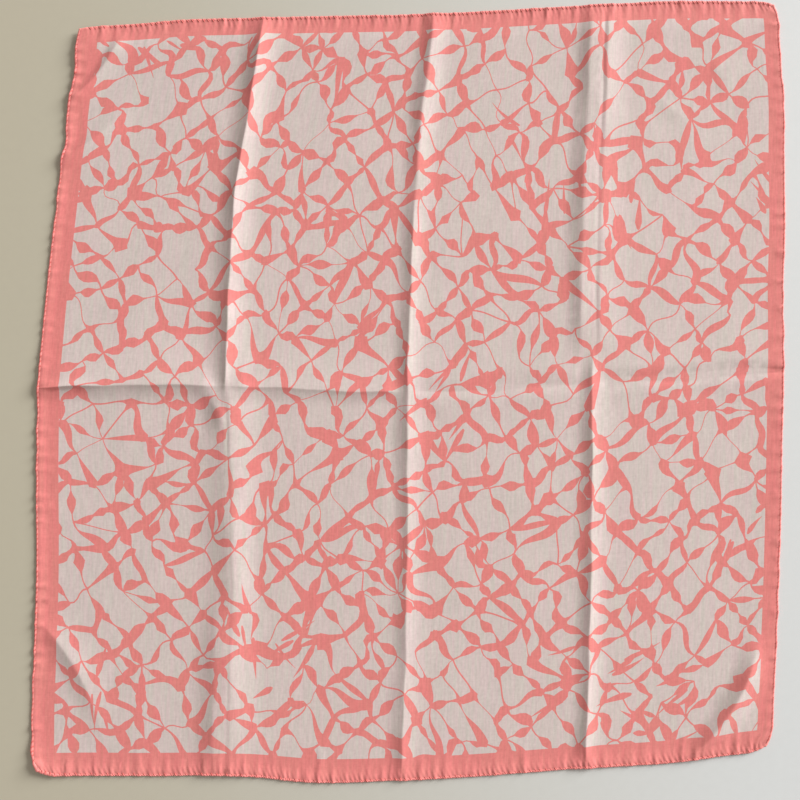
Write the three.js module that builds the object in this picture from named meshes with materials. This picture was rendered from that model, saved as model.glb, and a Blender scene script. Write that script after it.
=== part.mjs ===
// A square headscarf of thin woven cloth with a rolled hem, opened out and lying flat.
// It keeps the creases of its folding: three upright ones and one across.
// Millimetres, +Z up. The surface that it lies on is z = 0, and +Y is its top edge.

import * as THREE from "three";

// ---- Sizes ----
const CUT = 560; // side of the square as it was cut, over its hems
const HALF = CUT / 2;
const WALL = 1.3; // the cloth's wall
const HEM = 2.6; // across the roll of the hem
const SEAM = 0.3; // gap between two pieces that are sewn together
const EDGE = HALF - HEM - SEAM; // from the middle to the panel's own edge
const QUARTER = CUT / 4; // from one upright crease to the next
const CORNER = 22; // side of the square that a rounded corner takes up
const CREST = 1.2; // roundness of the crest of a slanting fold
const END_SHARE = 0.35; // a slanting fold starts with this share of its rise
const END_SPEED = 4; // and has it all at 1 / END_SPEED of its length, or sooner
const EDGE_FADE = 45; // how far in a bow of the edge still moves the cloth
const GATHERS = 70; // little gathers that the stitches pull up along the top and the bottom
const GATHER_REACH = 13; // how far they run in from the hem
const GATHER_LOW = 0.35; // the lowest gather
const GATHER_HIGH = 0.95; // the highest
const GATHER_SWELL = 0.07; // share by which the roll is fatter at a gather
const GATHER_SHUFFLE = 0.3; // share of the pitch that a gather may be moved along the hem
const SCATTER = { step: 12.9898, kind: 78.233, stretch: 43758.5453 }; // for uneven spacing and height
const HEM_SIDES = 6;

// ---- How the square lies ----
// Plan x and y where the five upright lines (edge, three creases, edge) meet five cross lines.
const LINES = ["left", "first", "second", "third", "right"];
const CROSS_LINES = [
  { name: "bottom", left: [-278, -282], first: [-136.5, -281], second: [-6, -285],
    third: [129, -276], right: [267, -263] },
  { name: "lower", left: [-274.5, -138], first: [-134, -140], second: [-2, -144],
    third: [134, -138], right: [272.7, -127] },
  { name: "middle", left: [-273, 4], first: [-134.5, 5], second: [-1.5, 1],
    third: [134, 5.5], right: [275.8, 15] },
  { name: "upper", left: [-259.5, 138], first: [-128, 141.5], second: [3.7, 141.5],
    third: [137, 145], right: [276.7, 149] },
  { name: "top", left: [-243.5, 268], first: [-106, 275.3], second: [20.4, 278.6],
    third: [142.2, 285], right: [271, 288] },
];
const MIDDLE = [-0.55, 0.36]; // middle of the whole outline, which becomes the origin

// Where an edge bows out (or in, below 0) between the lines above.
const BOWS = [
  { edge: "bottom", at: -70, out: 3.6, reach: 46 },
  { edge: "bottom", at: -190, out: 1.2, reach: 40 },
  { edge: "bottom", at: 200, out: 2.2, reach: 44 },
  { edge: "left", at: 244, out: -1.8, reach: 14 },
  { edge: "left", at: 190, out: -1.6, reach: 12 },
  { edge: "left", at: -225, out: 1.4, reach: 30 },
  { edge: "right", at: 205, out: 1.6, reach: 26 },
  { edge: "right", at: 70, out: -1.2, reach: 30 },
  { edge: "top", at: 195, out: 1.4, reach: 40 },
  { edge: "top", at: -195, out: 1.6, reach: 36 },
];

// Roundness of each corner (1 fills the corner's square), how far it stands up, and how far that runs in.
const CORNERS = [
  { name: "top_left", side: -1, end: 1, round: 0.4, lift: 1.6, run: 34 },
  { name: "top_right", side: 1, end: 1, round: 0.7, lift: 0.6, run: 40 },
  { name: "bottom_right", side: 1, end: -1, round: 1, lift: 1.2, run: 44 },
  { name: "bottom_left", side: -1, end: -1, round: 1, lift: 2.6, run: 46 },
];

// The folding lines, as distances from the middle, and how far each strays at nine even stations along it.
const FOLD_LINES = {
  first: { place: -QUARTER, sway: [0.5, 1.5, 1.7, 1.4, 0, 0.9, 0.9, 1.1, 0] },
  second: { place: 0, sway: [-0.2, 0.5, 0.5, 0.6, 0, 0, -0.4, -0.5, -0.4] },
  third: { place: QUARTER, sway: [-0.4, -1.5, -2.2, -0.9, -1, -0.2, 0, 0, 0] },
  cross: { place: 0, sway: [-0.8, 1.1, 0.1, -0.8, -0.1, 0.2, 1.6, 2.4, 1.4] },
};

// Ridges along the folding lines; one with rises below 0 is a groove. Each lies off its line by off and
// fades in and out over fade at its inner ends. rises: at its start, halfway and at its end. top: roundness
// of the crest. low and high: reach and power of its fall on the side of the smaller and larger coordinate.
const CREASES = [
  { line: "first", off: 0, from: -8, to: HALF, fade: 16, rises: [4.4, 4.6, 4.5], top: 0.8,
    low: [18, 2.1], high: [19, 1.7] },
  { line: "first", off: 2.9, from: -HALF, to: 8, fade: 16, rises: [2.6, 2.8, 2.6], top: 3.5,
    low: [24, 1.3], high: [18, 1.25] },
  { line: "first", off: -9, from: -HALF, to: -QUARTER, fade: 40, rises: [1.5, 1.5, 1], top: 2.5,
    low: [14, 1.4], high: [9, 1.3] },
  { line: "second", off: 0, from: -8, to: 150, fade: 30, rises: [3, 3, 2.7], top: 0.8,
    low: [14, 1.5], high: [15, 1.75] },
  { line: "second", off: 0, from: 120, to: HALF, fade: 30, rises: [2.5, 3.2, 3.4], top: 2,
    low: [12, 1.4], high: [17, 1.7] },
  { line: "second", off: 0, from: -HALF, to: 22, fade: 30, rises: [2.2, 2, 3], top: 0.7,
    low: [14, 1.7], high: [14, 1.4] },
  { line: "third", off: -9.2, from: 10, to: HALF, fade: 50, rises: [1.6, 2, 1.5], top: 1.6,
    low: [12, 1.2], high: [11, 1.2] },
  { line: "third", off: 4.6, from: 10, to: HALF, fade: 40, rises: [1.4, 1.9, 2.5], top: 1.4,
    low: [26, 1.1], high: [19, 1.3] },
  { line: "third", off: 0, from: -HALF, to: 30, fade: 30, rises: [2.8, 2.6, 2.7], top: 0.7,
    low: [13, 1.6], high: [14, 1.7] },
  { line: "cross", off: 0, from: -HALF, to: -142, fade: 14, rises: [3.6, 2.6, 2.2], top: 0.6,
    low: [14, 1.6], high: [42, 1.3] },
  { line: "cross", off: 0, from: -138, to: -2, fade: 14, rises: [1.8, 1.6, 1.4], top: 0.6,
    low: [11, 1.6], high: [30, 1.3] },
  { line: "cross", off: 0, from: 2, to: 138, fade: 14, rises: [0.8, 0.9, 0.9], top: 1,
    low: [30, 1.2], high: [30, 1.2] },
  { line: "cross", off: 0, from: 2, to: 138, fade: 14, rises: [-0.8, -0.9, -0.9], top: 0.8,
    low: [8, 1.4], high: [8, 1.4] },
  { line: "cross", off: 0, from: 142, to: HALF, fade: 14, rises: [1.1, 1.2, 1.3], top: 1,
    low: [34, 1.2], high: [34, 1.2] },
  { line: "cross", off: 0, from: 142, to: HALF, fade: 14, rises: [-1.1, -1.2, -1.3], top: 0.8,
    low: [8, 1.4], high: [9, 1.4] },
];

// Soft folds that lie aslant over a corner or a side: two ends, how far the middle bows to the right of the
// way from one to the other, the rise, and reach and power of the fall to the left and right of that way.
const SLANTS = [
  { name: "top_left_corner", from: [-273, 224], to: [-243, 266], bow: 0, rise: 1.3,
    low: [4.5, 1.2], high: [15, 1.6] },
  { name: "left_side", from: [-277, 178], to: [-234, 214], bow: 0, rise: 1.7,
    low: [8, 1.5], high: [14, 1.6] },
  { name: "bottom_left_corner", from: [-279, -173], to: [-236, -246], bow: -10, rise: 2,
    low: [16, 1.7], high: [7, 1.3] },
  { name: "bottom_right_corner", from: [268, -214], to: [232, -277], bow: -11, rise: 2.6,
    low: [14, 1.2], high: [10, 1.3] },
];

// Mesh lines: offsets from each folding line, and distances in from each edge.
const CREASE_STEPS = {
  first: [-24, -16, -9, -4.5, 0, 3, 8, 13, 20],
  second: [-14, -8, -3.5, 0, 3.5, 8, 16],
  third: [-21, -15, -9.2, -4, 0, 4.6, 9, 15, 23],
  cross: [-34, -20, -9, -4, 0, 4, 9, 20, 34],
};
const STRAY_REACH = 40; // mesh lines nearer than this to a folding line stray with it
const EDGE_STEPS = [0, 5, 10, 16, 24, 34, 46];
const ROW_STEPS = [0, 4, 9, 15, 22, 34, 50];
const GATHERED_ROWS = 3; // the outer rows that carry the gathers
const BOTTOM_KIND = 1; // each gathered edge has its own uneven spacing
const TOP_KIND = 2;
const HEIGHT_KIND = 5; // and its own uneven heights
const MIDWAYS = [-200, -70, 70, 200];
const ROW_MIDWAYS = [-212, -195, -178, -150, -110, -70, 70, 110, 150, 180, 205];

// ---- Curves ----
const clamp = (value, low, high) => Math.min(Math.max(value, low), high);
const ease = (share) => share * share * (3 - 2 * share);

// A smooth run through evenly spaced values, read at a share from 0 to 1.
function through(values, share) {
  const last = values.length - 1;
  const place = clamp(share, 0, 1) * last;
  const i = Math.min(Math.floor(place), last - 1);
  const f = place - i;
  const slope = (k) => {
    const before = Math.max(k - 1, 0);
    const after = Math.min(k + 1, last);
    return (values[after] - values[before]) / (after - before);
  };
  const [f2, f3] = [f * f, f * f * f];
  return (
    (2 * f3 - 3 * f2 + 1) * values[i] +
    (f3 - 2 * f2 + f) * slope(i) +
    (3 * f2 - 2 * f3) * values[i + 1] +
    (f3 - f2) * slope(i + 1)
  );
}

// A steady number from 0 to 1 for the k-th of something, so that nothing repeats evenly.
function uneven(k, kind) {
  const wave = Math.sin(k * SCATTER.step + kind * SCATTER.kind) * SCATTER.stretch;
  return wave - Math.floor(wave);
}

// ---- From the cut square (u across, v up, from its middle) to the plan ----
// A corner's square is drawn round by sliding its points on to an arc.
function roundedCorner(u, v) {
  const a = (Math.abs(u) - (HALF - CORNER)) / CORNER;
  const b = (Math.abs(v) - (HALF - CORNER)) / CORNER;
  if (a <= 0 || b <= 0) return [u, v];
  const corner = CORNERS.find((c) => c.side * u > 0 && c.end * v > 0);
  const slide = (p, q) => p * (1 - corner.round * (1 - Math.sqrt(1 - (q * q) / 2)));
  const out = HALF - CORNER;
  return [Math.sign(u) * (out + CORNER * slide(a, b)), Math.sign(v) * (out + CORNER * slide(b, a))];
}

function bowAt(u, v) {
  const shift = { x: 0, y: 0 };
  for (const bow of BOWS) {
    const upright = bow.edge === "left" || bow.edge === "right";
    const side = bow.edge === "right" || bow.edge === "top" ? 1 : -1;
    const along = upright ? v : u;
    const inward = HALF - side * (upright ? u : v);
    const amount = side * bow.out * Math.exp(-(((along - bow.at) / bow.reach) ** 2) - inward / EDGE_FADE);
    shift[upright ? "x" : "y"] += amount;
  }
  return shift;
}

function planAt(u, v) {
  const [a, b] = roundedCorner(u, v);
  const [s, t] = [a / CUT + 0.5, b / CUT + 0.5];
  const read = (axis) =>
    through(
      CROSS_LINES.map((row) => through(LINES.map((line) => row[line][axis]), s)),
      t,
    );
  const bow = bowAt(a, b);
  return { x: read(0) + bow.x - MIDDLE[0], y: read(1) + bow.y - MIDDLE[1] };
}

// ---- Height of the cloth's underside ----
// Height of a fold beside its crest, from 1 down to 0.
function fall(across, top, low, high) {
  const away = Math.hypot(across, top) - top;
  const [reach, power] = across < 0 ? low : high;
  return Math.max(1 - away / reach, 0) ** power;
}

function strayAt(line, along) {
  return through(FOLD_LINES[line].sway, along / CUT + 0.5);
}

function creaseRise(crease, u, v) {
  const [along, place] = crease.line === "cross" ? [u, v] : [v, u];
  const across = place - FOLD_LINES[crease.line].place - crease.off - strayAt(crease.line, along);
  let rise = through(crease.rises, (along - crease.from) / (crease.to - crease.from));
  if (crease.from > -HALF) rise *= ease(clamp((along - crease.from) / crease.fade, 0, 1));
  if (crease.to < HALF) rise *= ease(clamp((crease.to - along) / crease.fade, 0, 1));
  return rise * fall(across, crease.top, crease.low, crease.high);
}

function slantRise(slant, u, v) {
  const [dx, dy] = [slant.to[0] - slant.from[0], slant.to[1] - slant.from[1]];
  const length = Math.hypot(dx, dy);
  const [x, y] = [u - slant.from[0], v - slant.from[1]];
  const along = (x * dx + y * dy) / length;
  const share = clamp(along / length, 0, 1);
  const bend = slant.bow * (1 - (2 * share - 1) ** 2);
  const across = (x * dy - y * dx) / length - bend;
  const past = Math.max(-along, along - length, 0) / Math.max(slant.low[0], slant.high[0]);
  const rise = slant.rise * ease(clamp(Math.min(share, 1 - share) * END_SPEED + END_SHARE, 0, 1));
  return rise * fall(across, CREST, slant.low, slant.high) * ease(clamp(1 - past, 0, 1));
}

function cornerRise(corner, u, v) {
  const away = Math.hypot(u - corner.side * HALF, v - corner.end * HALF) / corner.run;
  return corner.lift * Math.max(1 - away, 0) ** 2;
}

function undersideAt(u, v) {
  const creases = CREASES.reduce((sum, crease) => sum + creaseRise(crease, u, v), 0);
  const slants = SLANTS.reduce((sum, slant) => sum + slantRise(slant, u, v), 0);
  const corners = CORNERS.reduce((sum, corner) => sum + cornerRise(corner, u, v), 0);
  return Math.max(creases + slants + corners, 0);
}

// ---- Gathers along the top and the bottom ----
// The u of each gather's foot and crest in turn, from edge to edge; the nearest one moves on to each crease.
function gatherMarks(kind) {
  const pitch = (2 * EDGE) / (2 * GATHERS);
  const marks = [];
  for (let k = 0; k <= 2 * GATHERS; k++) {
    const inside = k > 0 && k < 2 * GATHERS;
    const shuffle = inside ? (2 * uneven(k, kind) - 1) * GATHER_SHUFFLE * pitch : 0;
    marks.push(-EDGE + k * pitch + shuffle);
  }
  for (const crease of [-QUARTER, 0, QUARTER]) {
    const away = marks.map((u) => Math.abs(u - crease));
    marks[away.indexOf(Math.min(...away))] = crease;
  }
  return marks;
}

function gatherRise(k, kind, inward) {
  if (k % 2 === 0) return 0;
  const height = GATHER_LOW + (GATHER_HIGH - GATHER_LOW) * uneven(k, kind + HEIGHT_KIND);
  return height * ease(clamp(1 - inward / GATHER_REACH, 0, 1));
}

// ---- Mesh of the panel ----
function meshLines(steps, lines, midways) {
  const made = [...midways];
  for (const step of steps) made.push(EDGE - step, step - EDGE);
  for (const line of lines)
    for (const step of CREASE_STEPS[line]) made.push(FOLD_LINES[line].place + step);
  return made.sort((a, b) => a - b);
}

// A mesh line near a folding line strays with it; the others stay straight.
function strayed(lines, place, along) {
  const near = lines.find((line) => Math.abs(place - FOLD_LINES[line].place) < STRAY_REACH);
  if (!near) return place;
  const away = Math.abs(place - FOLD_LINES[near].place) / STRAY_REACH;
  return place + strayAt(near, along) * (1 - away * away);
}

// One row of points at a given v: plain columns, or the gather marks with their rise.
function panelRow(row, lift, marks, kind) {
  return marks.map((mark, k) => {
    const u = kind ? mark : strayed(UPRIGHTS, mark, row);
    const v = kind ? row : strayed(["cross"], row, u);
    const { x, y } = planAt(u, v);
    const gather = lift && kind ? gatherRise(k, kind, EDGE - Math.abs(v)) : 0;
    return { u, x, y, z: undersideAt(u, v) + lift + gather };
  });
}

// Triangles between two rows whose points may not match, walking along both by u.
function stitchRows(low, high, place) {
  const faces = [];
  let [i, j] = [0, 0];
  while (i < low.length - 1 || j < high.length - 1) {
    const nextLow = i < low.length - 1 ? low[i + 1].u : Infinity;
    const nextHigh = j < high.length - 1 ? high[j + 1].u : Infinity;
    if (nextLow <= nextHigh) faces.push([place(low[i]), place(low[++i]), place(high[j])]);
    else faces.push([place(low[i]), place(high[j + 1]), place(high[j++])]);
  }
  return faces;
}

// Collects shared points and faces, and gives a three.js geometry.
class Shell {
  constructor() {
    this.points = [];
    this.faces = [];
  }
  place(point) {
    if (point.index === undefined) point.index = this.points.push(point) - 1;
    return point.index;
  }
  strip(low, high, flip) {
    const made = stitchRows(low, high, (p) => this.place(p));
    for (const [a, b, c] of made) this.faces.push(flip ? [a, c, b] : [a, b, c]);
  }
  quad(a, b, c, d) {
    const [i, j, k, l] = [a, b, c, d].map((p) => this.place(p));
    this.faces.push([i, j, k], [i, k, l]);
  }
  geometry() {
    const made = new THREE.BufferGeometry();
    const numbers = this.points.flatMap((p) => [p.x, p.y, p.z]);
    made.setAttribute("position", new THREE.Float32BufferAttribute(numbers, 3));
    made.setIndex(this.faces.flat());
    made.computeVertexNormals();
    return made;
  }
}

const UPRIGHTS = ["first", "second", "third"];
const columns = meshLines(EDGE_STEPS, UPRIGHTS, MIDWAYS);
const rows = meshLines(ROW_STEPS, ["cross"], ROW_MIDWAYS);
const bottomMarks = gatherMarks(BOTTOM_KIND);
const topMarks = gatherMarks(TOP_KIND);

// The rows of one face: its outer rows follow the gathers, the others the plain columns.
function panelFace(lift) {
  return rows.map((v, k) => {
    const fromTop = rows.length - 1 - k;
    if (k < GATHERED_ROWS) return panelRow(v, lift, bottomMarks, BOTTOM_KIND);
    if (fromTop < GATHERED_ROWS) return panelRow(v, lift, topMarks, TOP_KIND);
    return panelRow(v, lift, columns, 0);
  });
}

const upperFace = panelFace(WALL);
const lowerFace = panelFace(0);

function panelGeometry() {
  const shell = new Shell();
  const last = rows.length - 1;
  for (let k = 0; k < last; k++) {
    shell.strip(upperFace[k], upperFace[k + 1], false);
    shell.strip(lowerFace[k], lowerFace[k + 1], true);
    const [upLeft, upRight] = [upperFace[k][0], upperFace[k].at(-1)];
    const [nextLeft, nextRight] = [upperFace[k + 1][0], upperFace[k + 1].at(-1)];
    shell.quad(lowerFace[k][0], upLeft, nextLeft, lowerFace[k + 1][0]);
    shell.quad(lowerFace[k].at(-1), lowerFace[k + 1].at(-1), nextRight, upRight);
  }
  for (let i = 0; i < bottomMarks.length - 1; i++)
    shell.quad(lowerFace[0][i], lowerFace[0][i + 1], upperFace[0][i + 1], upperFace[0][i]);
  for (let i = 0; i < topMarks.length - 1; i++)
    shell.quad(lowerFace[last][i + 1], lowerFace[last][i], upperFace[last][i], upperFace[last][i + 1]);
  return shell.geometry();
}

// ---- Mesh of a rolled hem ----
// The panel's edge points all round, counter-clockwise from the bottom left corner, with the outward way.
function edgeLoop() {
  const last = rows.length - 1;
  const bottom = lowerFace[0].slice(0, -1);
  const right = lowerFace.slice(0, -1).map((row) => row.at(-1));
  const top = lowerFace[last].slice(1).reverse();
  const left = lowerFace.slice(1).map((row) => row[0]).reverse();
  const gathered = (k) => (k % 2 ? GATHER_SWELL : k ? -GATHER_SWELL : 0);
  const sides = [
    { name: "bottom", run: bottom, swell: gathered },
    { name: "right", run: right, swell: () => 0 },
    { name: "top", run: top, swell: gathered },
    { name: "left", run: left, swell: () => 0 },
  ];
  const loop = sides.flatMap(({ name, run, swell }) =>
    run.map(({ x, y, z }, k) => ({ name, x, y, z, swell: swell(k) })),
  );
  return loop.map((p, k) => {
    const [before, after] = [loop.at(k - 1), loop[(k + 1) % loop.length]];
    const [tx, ty] = [after.x - before.x, after.y - before.y];
    const length = Math.hypot(tx, ty);
    return { ...p, tx: tx / length, ty: ty / length };
  });
}

// A section of the roll: flat below, its middle outside the panel's edge, back along the edge by `back`.
function hemSection(p, back) {
  const radius = (HEM / 2) * (1 + p.swell);
  const out = SEAM + HEM / 2;
  const [cx, cy] = [p.x + p.ty * out - p.tx * back, p.y - p.tx * out - p.ty * back];
  const middle = p.z + radius * Math.cos(Math.PI / HEM_SIDES);
  return Array.from({ length: HEM_SIDES }, (_, k) => {
    const angle = (k * 2 * Math.PI) / HEM_SIDES;
    const [side, up] = [radius * Math.cos(angle), radius * Math.sin(angle)];
    const near = Math.min(radius, HEM / 2) / radius; // a fat spot swells outwards, never into the panel
    const across = side < 0 ? side * near : side;
    return { x: cx + p.ty * across, y: cy - p.tx * across, z: middle + up };
  });
}

function hemGeometry(name, loop) {
  const start = loop.findIndex((p) => p.name === name);
  const run = loop.filter((p) => p.name === name);
  run.push(loop[(start + run.length) % loop.length]);
  const shell = new Shell();
  const rings = run.map((p, k) => {
    const back = k === 0 ? -SEAM / 2 : k === run.length - 1 ? SEAM / 2 : 0;
    return hemSection(p, back);
  });
  for (let k = 0; k < rings.length - 1; k++)
    for (let i = 0; i < HEM_SIDES; i++) {
      const j = (i + 1) % HEM_SIDES;
      shell.quad(rings[k][i], rings[k + 1][i], rings[k + 1][j], rings[k][j]);
    }
  const [first, end] = [rings[0], rings.at(-1)];
  for (let i = 1; i < HEM_SIDES - 1; i++) {
    shell.faces.push([first[0], first[i], first[i + 1]].map((p) => shell.place(p)));
    shell.faces.push([end[0], end[i + 1], end[i]].map((p) => shell.place(p)));
  }
  return shell.geometry();
}

// ---- Scene ----
const cloth = new THREE.MeshStandardMaterial({ color: 0xe2b3a9, roughness: 0.85, metalness: 0 });
cloth.name = "printed_cloth";
const roll = new THREE.MeshStandardMaterial({ color: 0xf08279, roughness: 0.8, metalness: 0 });
roll.name = "hem_cloth";

const headscarf = new THREE.Group();
headscarf.name = "headscarf";
const panel = new THREE.Mesh(panelGeometry(), cloth);
panel.name = "panel";
headscarf.add(panel);
const loop = edgeLoop();
for (const name of ["bottom", "right", "top", "left"]) {
  const hem = new THREE.Mesh(hemGeometry(name, loop), roll);
  hem.name = "hem_" + name;
  headscarf.add(hem);
}

export default headscarf;
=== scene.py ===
# A thin square headscarf, opened out flat: one printed sheet of cloth, its rolled hems and their stitches.
import math
import random

import bpy
import numpy as np
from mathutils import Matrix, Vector
from mathutils.geometry import delaunay_2d_cdt


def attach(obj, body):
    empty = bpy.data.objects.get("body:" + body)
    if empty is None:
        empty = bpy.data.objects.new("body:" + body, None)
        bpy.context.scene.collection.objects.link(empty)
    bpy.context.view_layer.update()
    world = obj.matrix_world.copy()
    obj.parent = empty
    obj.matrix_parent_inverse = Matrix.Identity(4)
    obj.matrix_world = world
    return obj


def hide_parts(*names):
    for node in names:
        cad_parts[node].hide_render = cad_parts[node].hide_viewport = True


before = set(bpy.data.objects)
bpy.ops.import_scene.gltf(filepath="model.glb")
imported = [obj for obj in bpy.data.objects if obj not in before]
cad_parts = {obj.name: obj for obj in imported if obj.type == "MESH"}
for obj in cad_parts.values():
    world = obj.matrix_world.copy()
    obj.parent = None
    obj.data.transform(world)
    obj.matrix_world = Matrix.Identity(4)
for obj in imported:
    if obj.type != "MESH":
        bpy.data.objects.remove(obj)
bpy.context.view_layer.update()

MM = 0.001

# ---- Sizes of the scarf, mm ----
CUT = 560.0  # side of the square as cut, over its hems
HALF = CUT / 2
QUARTER = CUT / 4
HEM = 2.6  # across the rolled hem
SEAM = 0.3  # between the solid panel and its hems
EDGE = HALF - HEM - SEAM  # where the solid panel ends
TUCK = 1.0  # how much further the sheet runs, into the roll
SHEET = EDGE + TUCK
CLOTH = 0.35  # thickness of the sheet
REST = 0.05  # the sheet's underside above the surface that it lies on
STITCH = 3.8  # from one whip stitch to the next
STITCH_SLANT = 0.45  # sideways for each mm across the hem
BORDER = {"left": 17.0, "bottom": 17.0, "top": 13.5, "right": 12.5}  # printed border, hem included

OUTWARDS = {"left": -1, "bottom": -1, "top": 1, "right": 1}

CREST = 1.2  # roundness of the crest of a slanting fold
CORNER = 22.0  # how far a corner's rounding reaches along its two edges
EDGE_FADE = 45.0  # how far inwards a bow of the edge fades
EDGE_DROP = 0.65  # share of its rise that a crease loses at the hem
EDGE_DROP_RUN = 9.0
ROLLED = 0.54  # how far the cloth climbs to meet the top of the roll
CLIMB = {"left": 3.2, "bottom": 5.0, "top": 36.0, "right": 30.0}  # how far inwards it climbs
TOP_FALL = 0.9  # how far the top border falls towards its hem
TOP_FALL_RUN = 18.0
TOP_FALL_BACK = 60.0  # how slowly it fades on the other side
PUCKER = {"top": 0.15, "bottom": 0.20}  # how far a whip stitch pulls up the cloth beside it
PUCKER_RUN = 7.5
GATHER_SHIFT = 0.3  # how far a gather strays, as a share of the spacing
WRINKLE_SWAY = 0.8
WAVE_HEIGHT = 0.10
WAVE_LEVEL = 0.12
SOFT_LANDING = 0.01  # rounds off the places where a trough meets the surface

# Size, length and shift of the waves that make a crease uneven
LINE_WAVES = [(0.30, 13.5, 5.3), (0.22, 6.1, 1.0), (0.25, 29, 2.1)]
RISE_WAVES = [(0.08, 17, 1.7), (0.06, 7.3, 3.1)]
REACH_WAVES = [(0.10, 37, 2.3), (0.08, 14, 0.9)]
WAVE_FADE = 20.0  # where a folding line steadies before the edge

# ---- How the square lies, mm: as the solids do, with finer creases ----
# x and y where edge, three creases and edge meet each of five cross lines.
CROSS_LINES = [
    ("bottom", (-278, -282), (-136.5, -281), (-6, -285), (129, -276), (267, -263)),
    ("lower", (-274.5, -138), (-134, -140), (-2, -144), (134, -138), (272.7, -127)),
    ("middle", (-273, 4), (-134.5, 5), (-1.5, 1), (134, 5.5), (275.8, 15)),
    ("upper", (-259.5, 138), (-128, 141.5), (3.7, 141.5), (137, 145), (276.7, 149)),
    ("top", (-243.5, 268), (-106, 275.3), (20.4, 278.6), (142.2, 285), (271, 288)),
]
MIDDLE = (-0.55, 0.36)

# Bows of the outline: edge, place along it, how far out, reach
BOWS = [
    ("bottom", -70, 3.6, 46),
    ("bottom", -190, 1.2, 40),
    ("bottom", 200, 2.2, 44),
    ("left", 244, -1.8, 14),
    ("left", 190, -1.6, 12),
    ("left", -225, 1.4, 30),
    ("right", 205, 1.6, 26),
    ("right", 70, -1.2, 30),
    ("top", 195, 1.4, 40),
    ("top", -195, 1.6, 36),
]

# side, end, roundness, lift, how far the lift runs
CORNERS = [
    (-1, 1, 0.4, 2.4, 42),
    (1, 1, 0.7, 0.6, 40),
    (1, -1, 1.0, 1.2, 44),
    (-1, -1, 1.0, 2.6, 46),
]

# The folding lines, and how far each strays sideways at nine even stations along it
LINES = {"first": -QUARTER, "second": 0.0, "third": QUARTER, "cross": 0.0}
SWAYS = {
    "first": (0.5, 1.5, 1.7, 1.4, 0.0, 0.9, 0.9, 1.1, 0.0),
    "second": (-0.2, 0.5, 0.5, 0.7, 0.5, 1.1, 0.6, -0.7, -1.4),
    "third": (0.7, -0.4, -1.1, 0.2, 0.1, 0.3, 0.0, 0.0, 0.0),
    "cross": (-0.8, 1.1, 0.1, -0.8, -0.1, 0.2, 1.6, 2.4, 1.4),
}

# Ridges along the folding lines; one with rises below 0 is a groove.
# line, off to its side, from, to, fade at an inner end, rise at the start, halfway and end, roundness of
# the crest, reach and power on the side of the smaller coordinate, the same on the other side
CREASES = [
    ("first", 0.0, -8, HALF, 16, (3.5, 3.6, 3.7), 0.6, 16, 2.2, 21, 2.3),
    ("first", 2.9, -HALF, 8, 16, (2.3, 2.6, 2.6), 4.0, 26, 1.9, 24, 1.9),
    ("first", 1.2, -HALF, -4, 18, (-0.15, -0.1, -0.2), 0.5, 2.6, 1.3, 2.2, 1.2),
    ("first", -9.0, -HALF, -QUARTER, 40, (1.15, 1.1, 0.7), 2.5, 14, 1.9, 11, 1.7),
    ("second", 0.0, -8, 150, 30, (2.4, 2.4, 2.2), 0.6, 12, 1.8, 17, 2.2),
    ("second", 0.0, 120, HALF, 30, (2.0, 2.5, 2.8), 1.5, 12, 1.8, 18, 2.0),
    ("second", 0.0, -HALF, 22, 30, (1.8, 1.7, 2.4), 0.6, 12, 1.9, 15, 1.9),
    ("third", -9.2, 10, HALF, 50, (1.3, 1.6, 1.2), 1.6, 10, 1.5, 12, 1.4),
    ("third", 4.6, 10, HALF, 40, (1.3, 1.8, 2.3), 1.4, 26, 1.3, 21, 1.7),
    ("third", 2.0, 10, HALF, 40, (-0.1, -0.2, -0.4), 0.5, 2.4, 1.2, 2.4, 1.2),
    ("third", 0.0, -HALF, 30, 30, (2.3, 2.2, 2.2), 0.6, 11, 1.9, 15, 2.1),
    ("cross", 0.0, -HALF, -142, 14, (2.4, 3.0, 2.6), 0.6, 14, 1.9, 46, 1.8),
    ("cross", 0.0, -HALF, -226, 30, (1.3, 1.0, 0.7), 0.15, 1.9, 1.2, 7, 1.6),
    ("cross", 0.0, -138, -2, 14, (2.1, 1.8, 1.6), 0.6, 11, 1.8, 34, 1.8),
    ("cross", 0.0, -HALF, -2, 14, (0.35, 0.25, 0.2), 0.2, 2.4, 1.3, 24, 1.8),
    ("cross", 0.0, 2, 138, 14, (0.7, 0.8, 0.8), 1.0, 34, 1.8, 34, 1.8),
    ("cross", 0.0, 2, 138, 14, (-0.9, -1.0, -1.0), 0.6, 7, 1.6, 11, 1.6),
    ("cross", 0.0, 142, HALF, 14, (0.9, 1.0, 1.1), 1.0, 38, 1.8, 38, 1.8),
    ("cross", 0.0, 142, HALF, 14, (-1.4, -1.7, -1.8), 0.6, 8, 1.6, 9, 1.6),
    ("cross", 0.0, 244, HALF, 16, (-0.6, -0.9, -1.2), 0.2, 2.0, 1.2, 2.0, 1.2),
]

# Folds that lie aslant: two ends, how far the middle bows to the right of the way between them, rise,
# shares of the way over which it fades in and out, reach and power to the left, the same to the right
SLANTS = [
    (-285, 214, -243, 276, 5, 1.6, 0.25, 0.25, 6, 1.5, 16, 1.8),
    (-287, 168, -222, 224, 3, 1.9, 0.2, 0.75, 10, 1.7, 18, 1.8),
    (-286, -160, -226, -266, -12, 1.7, 0.3, 0.6, 20, 1.9, 13, 1.8),
    (266, -186, 208, -284, -14, 3.1, 0.35, 0.3, 18, 1.7, 12, 1.5),
]

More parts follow.
